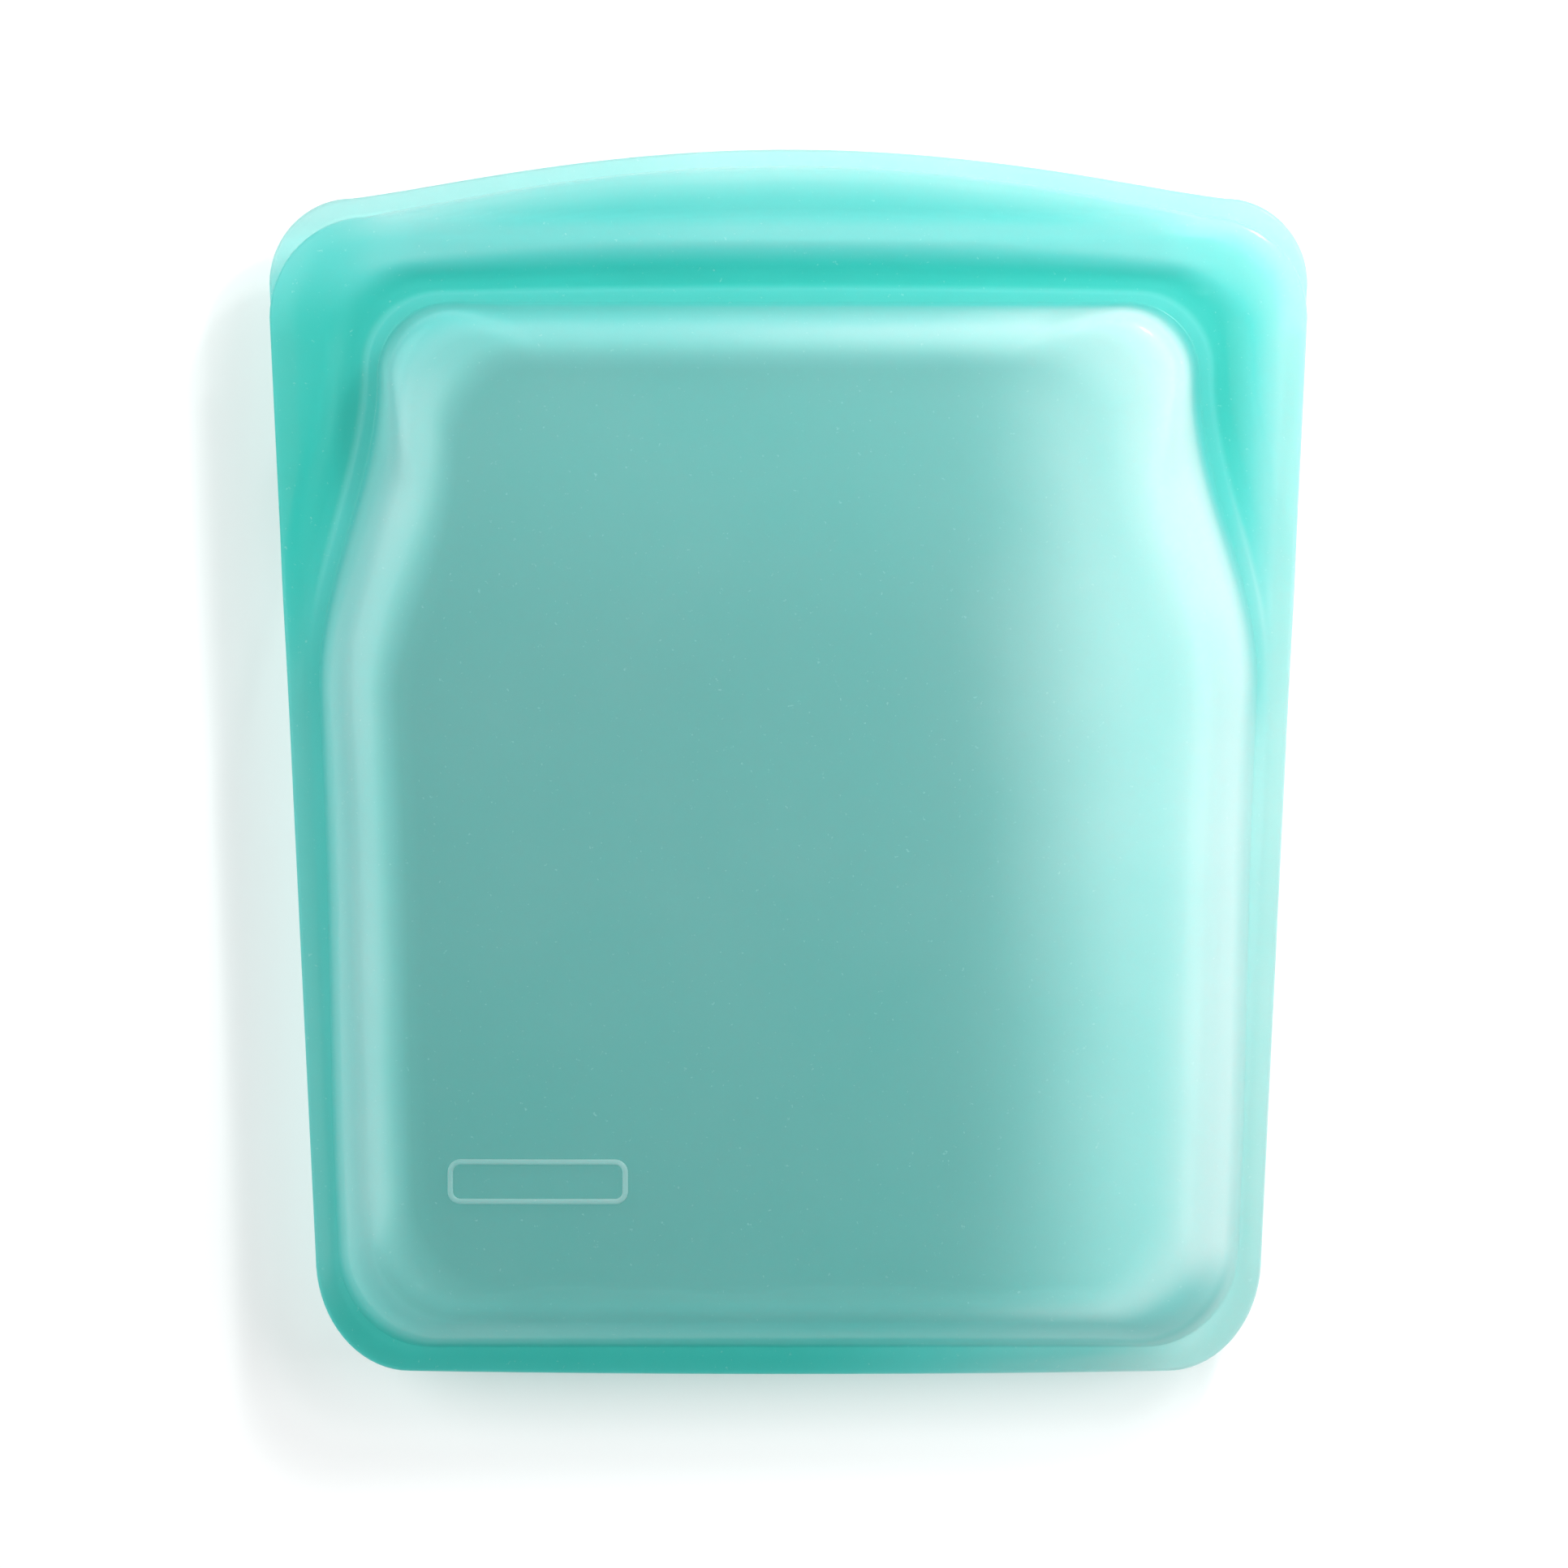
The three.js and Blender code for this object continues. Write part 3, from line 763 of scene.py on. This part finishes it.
def colour_ramp(tree, value, stops):
    made = node(tree, "ShaderNodeValToRGB")
    ramp = made.color_ramp
    while len(ramp.elements) < len(stops):
        ramp.elements.new(0.5)
    for element, (place, colour) in zip(ramp.elements, stops):
        element.position = place
        element.color = (*colour, 1)
    tree.links.new(value, made.inputs["Fac"])
    return made.outputs["Color"]


def maths(tree, operation, a, b):
    made = node(tree, "ShaderNodeMath", operation=operation)
    for socket, value in zip(made.inputs, (a, b)):
        put(tree, socket, value)
    return made.outputs[0]


def bump(tree, height, strength, distance):
    made = node(tree, "ShaderNodeBump")
    made.inputs["Strength"].default_value = strength
    made.inputs["Distance"].default_value = distance
    tree.links.new(height, made.inputs["Height"])
    return made


STOPS = [
    (0.0, (0.56, 0.74, 0.73)),
    (0.2, (0.31, 0.63, 0.615)),
    (0.5, (0.14, 0.585, 0.555)),
    (0.86, (0.045, 0.505, 0.45)),
    (1.0, (0.032, 0.40, 0.355)),
]
TINT = (0.80, 0.985, 0.965)
CLEAR_PAINTED_SHADE_TINT = (0.82, 0.68, 0.69)  # painted shade: the body's colour is multiplied by this where it is clearest, for the shade inside the pocket
GLOW = (0.62, 0.95, 0.93)  # the light that comes through has this colour, mixed with the body's
GLOW_SHARE = 0.5
MILKINESS = 0.3  # how much of the light that falls behind a face glows through it
SHADOW_TINT = (0.70, 0.725, 0.72)  # what one face lets through of a lamp's light
SPECK = (0.86, 0.97, 0.95)
ASLANT_CLEAR = 0.25  # the share of its clearness that a face keeps when it is seen aslant
CLOUDY = (0.3, 0.7)  # most of a noise's values lie between these
SPECKLED = (0.68, 0.76)  # and the few specks of dust are where it is as high as this
SPECK_SHARE = 0.25
DRIFT = 0.03  # the clouds deepen the colour and make it paler by as much as this
BODY = {
    "IOR": 1.41,
    "Subsurface Weight": 0.6,
    "Subsurface Radius": (0.4, 1.0, 0.95),
    "Subsurface Scale": 0.008,
    "Sheen Weight": 0.05,
    "Sheen Roughness": 0.45,
    "Sheen Tint": (0.82, 1.0, 0.99, 1),
    "Specular IOR Level": 0.3,
    "Coat Weight": 0.25,
    "Coat Roughness": 0.12,
}


def silicone(name, depth=None, clear=None, roughness=0.36):
    """Frosted silicone: a milky body that light soaks into, partly seen through, with a fine matt
    grain and cloudy patches. depth sets how deep its colour is, and clear how much shows through
    each face. Where either is None, the mesh's own value at each point is used."""
    material = bpy.data.materials.new(name)
    material.use_nodes = True
    tree = material.node_tree
    tree.nodes.clear()
    links = tree.links

    clouds = noise(tree, scale=24, detail=3)
    drift = map_range(tree, clouds, CLOUDY, (-DRIFT, DRIFT))
    if depth is None:
        depth = node(tree, "ShaderNodeAttribute", attribute_name="depth").outputs["Fac"]
    body = colour_ramp(tree, maths(tree, "ADD", drift, depth), STOPS)
    if clear is None:
        clear = node(tree, "ShaderNodeAttribute", attribute_name="clear").outputs["Fac"]
        # painted shade: where the silicone is clearest its colour is darkened, for the shade inside the
        # pocket
        inner_shade_share = map_range(tree, clear, (MILKIEST_FLOOR, CLEAREST), (0.0, 1.0))
        body = mix_colour(tree, inner_shade_share, body, mix_colour(tree, 1.0, body, CLEAR_PAINTED_SHADE_TINT, "MULTIPLY"))
    specks = noise(tree, scale=900, detail=2, roughness=0.7)
    speck_share = map_range(tree, specks, SPECKLED, (0.0, SPECK_SHARE))
    body = mix_colour(tree, speck_share, body, SPECK)

    principled = node(tree, "ShaderNodeBsdfPrincipled")
    for key, value in BODY.items():
        principled.inputs[key].default_value = value
    links.new(body, principled.inputs["Base Color"])
    smears = noise(tree, scale=60, detail=4)
    rough = map_range(tree, smears, CLOUDY, (roughness - 0.04, roughness + 0.06))
    links.new(rough, principled.inputs["Roughness"])

    grain = bump(tree, noise(tree, scale=1400, detail=3), strength=0.16, distance=0.1 * MM)
    dimple = bump(tree, noise(tree, scale=30, detail=2), strength=0.25, distance=1 * MM)
    links.new(grain.outputs["Normal"], dimple.inputs["Normal"])
    links.new(dimple.outputs["Normal"], principled.inputs["Normal"])

    glow = node(tree, "ShaderNodeBsdfTranslucent")
    links.new(mix_colour(tree, GLOW_SHARE, body, GLOW), glow.inputs["Color"])
    milky = mix_shader(tree, MILKINESS, principled.outputs[0], glow.outputs[0])

    aslant = node(tree, "ShaderNodeLayerWeight").outputs["Facing"]
    head_on = map_range(tree, aslant, (0.0, 0.5), (1.0, ASLANT_CLEAR))
    through = node(tree, "ShaderNodeBsdfTransparent")
    put(tree, through.inputs["Color"], TINT)
    blend = mix_shader(tree, maths(tree, "MULTIPLY", head_on, clear), milky, through.outputs[0])
    filtered = node(tree, "ShaderNodeBsdfTransparent")
    put(tree, filtered.inputs["Color"], SHADOW_TINT)
    in_shadow = node(tree, "ShaderNodeLightPath").outputs["Is Shadow Ray"]
    lit = mix_shader(tree, in_shadow, blend, filtered.outputs[0])
    output = node(tree, "ShaderNodeOutputMaterial")
    links.new(lit, output.inputs["Surface"])
    return material


def give(obj, material):
    obj.data.materials.clear()
    obj.data.materials.append(material)
    return obj


sheet_silicone = silicone("frosted_sheet_silicone")
closure_silicone = silicone("closure_silicone", depth=0.45, clear=0.1)
weld_silicone = silicone("weld_silicone", depth=0.8, clear=0.3)
label_silicone = silicone("label_silicone", depth=0.14, clear=0.4, roughness=0.3)

# ---- the two moulded sheets ----

joints = {j["name"]: j for j in frame["joints"]}
hinge_y = joints["front_mouth_open"]["pos_m"][1] / MM
fold_y = joints["back_lip_fold"]["pos_m"][1] / MM
HINGE_BEND = 18.0  # the front sheet bends over this length to each side of its hinge line
FOLD_BEND = 3.2
LENS = (10.0, 86.0)  # the mouth's lift fades out between these half widths


def lift_like_a_lens(obj):
    """Blends obj between the pocket and the lifted mouth. The lift fades towards the two sides, where
    the welds hold the mouth's ends, so the mouth opens as a lens."""
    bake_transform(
        obj,
        "pocket",
        "front_mouth",
        start=(0, (hinge_y - HINGE_BEND) * MM, 0),
        end=(0, (hinge_y + HINGE_BEND) * MM, 0),
    )
    share = obj.data.attributes["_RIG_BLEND"]
    lift = np.zeros(len(obj.data.vertices), np.float32)
    share.data.foreach_get("value", lift)
    places = np.array([v.co for v in obj.data.vertices])
    fade = 1 - smooth(np.abs(places[:, 0]) / MM, *LENS)
    share.data.foreach_set("value", (lift * fade).astype(np.float32))


front = moulded_sheet("front_sheet", "front", FRONT_LIP_Y, FRONT_LIFT, FRONT_CROWN, soft_floor=1.0)
give(front, sheet_silicone)
lift_like_a_lens(front)
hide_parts("front_wall", "front_mouth_panel", "front_closure_band", "front_lip")

back = moulded_sheet("back_sheet", "back", BACK_LIP_Y, BACK_DROP, BACK_CROWN, soft_floor=0.0)
give(back, sheet_silicone)
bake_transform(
    back,
    "pocket",
    "back_lip",
    start=(0, (fold_y - FOLD_BEND) * MM, 0),
    end=(0, (fold_y + FOLD_BEND) * MM, 0),
)
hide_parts("back_wall", "back_closure_band", "back_lip")

# ---- the weld round three sides ----

WELD_IN = 0.25  # its outer face lies this far inside the sheets' edge
WELD_HALF_WIDE = 1.9
WELD_HALF_TALL = SEAM_HALF_GAP - 0.04
WELD_ROUND = 0.6
WELD_TOP_Y = box_mm("side_seam_left")[1][1]


def perimeter_weld():
    path = edge_outline(FRONT_LIP_Y, WELD_IN + WELD_HALF_WIDE)
    held_right = (path[:, 0] > 0) & (path[:, 1] < WELD_TOP_Y)
    start = int(np.argmax(held_right))
    stop = len(path) - start
    held = path[start:stop + 1]
    route = np.column_stack([held, np.full(len(held), RIM_Z)])
    return swept("perimeter_weld", route, rounded_box(WELD_HALF_WIDE, WELD_HALF_TALL, WELD_ROUND))


weld = give(perimeter_weld(), weld_silicone)
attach(weld, "pocket")
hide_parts("side_seam_left", "side_seam_right", "bottom_seam")

# ---- the press closure ----

RAIL_STEPS = 90
ROOT_SUNK = 0.85  # the rib and the walls go on this far past their CAD boxes, into the sheets
RIB_STEM = 1.15
RIB_HEAD = 1.55
RIB_FLARE = (0.35, 0.5)  # at its root, across and down
HEAD_ROUND = 1.2
HEAD_SIDE = 0.3
HEAD_SLOPE = 0.8
CHANNEL_ROUND = 0.9  # a share of the wall's half width
PAD_SHARE = 0.6  # a pad's straight part, as a share of its length
PAD_STEPS = 8
PAD_ROUND = 0.9


def rail_route(y, z):
    x = np.linspace(-CLOSURE_HALF, CLOSURE_HALF, RAIL_STEPS)
    return np.column_stack([x, np.full_like(x, y), np.full_like(x, z)])


def press_rib():
    """A stem with a rounded head, seen along the bag as points across and up."""
    foot = rib_low[2] - rib_high[2] - ROOT_SUNK
    head_low = foot + HEAD_ROUND
    head_high = head_low + HEAD_SIDE
    section = [
        (RIB_STEM + RIB_FLARE[0], 0),
        (RIB_STEM, -RIB_FLARE[1]),
        (RIB_STEM, head_high + HEAD_SLOPE),
        (RIB_HEAD, head_high),
    ]
    section += [
        (RIB_HEAD * math.cos(a), head_low - HEAD_ROUND * math.sin(a))
        for a in np.linspace(0.15, math.pi / 2, 5)
    ]
    section += [(-x, z) for x, z in section[-2::-1]]
    return swept("press_rib_rail", rail_route(CLOSURE_Y, rib_high[2] + ROOT_SUNK), section[::-1])


def channel_wall(name, cad_node):
    low, high = box_mm(cad_node)
    half_wide = (high[1] - low[1]) / 2
    half_tall = (high[2] - low[2] + ROOT_SUNK) / 2
    route = rail_route((low[1] + high[1]) / 2, high[2] - half_tall)
    return swept(name, route, rounded_box(half_wide, half_tall, half_wide * CHANNEL_ROUND))


rib = give(press_rib(), closure_silicone)
lift_like_a_lens(rib)
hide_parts("press_rib")

for side_name in ("inner", "outer"):
    cad_name = f"channel_{side_name}_wall"
    wall = give(channel_wall(f"channel_{side_name}_rail", cad_name), closure_silicone)
    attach(wall, "pocket")
    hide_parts(cad_name)


def closure_end(name, cad_node):
    low, high = box_mm(cad_node)
    middle = (low + high) / 2
    half = (high - low) / 2
    straight = half[0] * PAD_SHARE
    x = np.linspace(middle[0] - straight, middle[0] + straight, PAD_STEPS)
    route = np.column_stack([x, np.full_like(x, middle[1]), np.full_like(x, middle[2])])
    return swept(name, route, rounded_box(half[1], half[2], PAD_ROUND))


for side_name in ("left", "right"):
    cad_name = f"closure_end_{side_name}"
    pad = give(closure_end(f"{cad_name}_pad", cad_name), closure_silicone)
    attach(pad, "pocket")
    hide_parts(cad_name)

# ---- the raised label frame ----

label_low, label_high = box_mm("label_frame")
LABEL_LINE = 1.1
LABEL_CORNER = 2.6
LABEL_TURNS = 8
LABEL_STEP = 1.0
LABEL_HALF_TALL = 0.42
LABEL_ROUND = 0.4
HIGH_ABOVE = 0.1  # in metres


def top_of(obj, places):
    """The height of obj's upper face at each x and y of places."""
    points = [v.co for v in obj.data.vertices]
    surface = BVHTree.FromPolygons(points, [p.vertices for p in obj.data.polygons])
    down = Vector((0, 0, -1))
    above = [Vector((x * MM, y * MM, HIGH_ABOVE)) for x, y in places]
    return np.array([surface.ray_cast(start, down)[0].z / MM for start in above])


def label_frame():
    middle = (label_low + label_high) / 2
    half = (label_high - label_low) / 2 - LABEL_LINE / 2
    corner = LABEL_CORNER - LABEL_LINE / 2
    flat = np.array(rounded_box(half[0], half[1], corner, LABEL_TURNS)) + middle[:2]
    fine = []
    for here, ahead in zip(flat, np.roll(flat, -1, axis=0)):
        pieces = max(1, round(float(np.linalg.norm(ahead - here)) / LABEL_STEP))
        fine += [here + (ahead - here) * k / pieces for k in range(pieces)]
    fine = np.array(fine)
    section = rounded_box(LABEL_LINE / 2, LABEL_HALF_TALL, LABEL_ROUND)
    route = np.column_stack([fine, top_of(front, fine)])
    return swept("raised_label_frame", route, section, closed=True)


label = give(label_frame(), label_silicone)
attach(label, "pocket")
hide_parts("label_frame")

# ---- floor, light and camera, in metres ----

TABLE_HALF = 4.0
TABLE_BELOW = 0.0002  # so that the bag's back does not lie in the table's own plane
PAPER = {
    "Base Color": (0.95, 0.95, 0.95, 1),
    "Roughness": 0.9,
    "Specular IOR Level": 0.1,
}


def studio_floor():
    mesh = bpy.data.meshes.new("studio_floor")
    corners = [(x * TABLE_HALF, y * TABLE_HALF, 0) for x, y in [(-1, -1), (1, -1), (1, 1), (-1, 1)]]
    mesh.from_pydata(corners, [], [(0, 1, 2, 3)])
    made = bpy.data.objects.new("studio_floor", mesh)
    made.location.z = -TABLE_BELOW
    bpy.context.scene.collection.objects.link(made)
    paper = bpy.data.materials.new("studio_paper")
    paper.use_nodes = True
    surface = paper.node_tree.nodes["Principled BSDF"]
    for key, value in PAPER.items():
        surface.inputs[key].default_value = value
    return give(made, paper)


studio_floor()

LIT_POINT = Vector((0, 0, 0.03))


def aimed_lamp(data, place):
    lamp = bpy.data.objects.new(data.name, data)
    lamp.location = place
    lamp.rotation_euler = (LIT_POINT - Vector(place)).to_track_quat("-Z", "Y").to_euler()
    bpy.context.scene.collection.objects.link(lamp)


def area_light(name, place, size, power):
    data = bpy.data.lights.new(name, "AREA")
    data.shape = "DISK"
    data.size = size
    data.energy = power
    aimed_lamp(data, place)


def far_light(name, place, spread, power):
    """Light that comes from so far off that it falls evenly on the whole table."""
    data = bpy.data.lights.new(name, "SUN")
    data.angle = math.radians(spread)
    data.energy = power
    aimed_lamp(data, place)


area_light("soft_key", (0.36, 0.36, 0.54), size=0.42, power=2.55)
area_light("glint", (0.26, 0.35, 0.44), size=0.05, power=1.3)
area_light("right_panel", (0.50, -0.02, 0.54), size=0.36, power=1.35)
far_light("left_fill", (-0.5, 0.15, 0.6), spread=50, power=1.8)


def studio_world(light, seen):
    """A white surround. light is how strongly it lights the bag, and seen how bright it looks."""
    made = bpy.data.worlds.new("studio")
    made.use_nodes = True
    tree = made.node_tree
    tree.nodes.clear()
    parts = []
    for strength in (light, seen):
        part = node(tree, "ShaderNodeBackground")
        part.inputs["Color"].default_value = (1, 1, 1, 1)
        part.inputs["Strength"].default_value = strength
        parts.append(part.outputs[0])
    from_camera = node(tree, "ShaderNodeLightPath").outputs["Is Camera Ray"]
    output = node(tree, "ShaderNodeOutputWorld")
    tree.links.new(mix_shader(tree, from_camera, *parts), output.inputs["Surface"])
    return made


bpy.context.scene.world = studio_world(light=0.28, seen=0.64)
bpy.context.scene.view_settings.view_transform = "Standard"

FRAME_WIDE = 0.3178  # how much the picture spans at the height of the bag's rim
CAMERA_HIGH = 1.15
CAMERA_AT = (-0.0009, -0.0047)
SENSOR = 36  # in millimetres

camera_data = bpy.data.cameras.new("overhead")
camera_data.sensor_width = SENSOR
camera_data.lens = SENSOR * (CAMERA_HIGH - RIM_Z * MM) / FRAME_WIDE
camera = bpy.data.objects.new("overhead", camera_data)
camera.location = (*CAMERA_AT, CAMERA_HIGH)
bpy.context.scene.collection.objects.link(camera)
bpy.context.scene.camera = camera

# ---- a last update of the scene ----

bpy.context.view_layer.update()
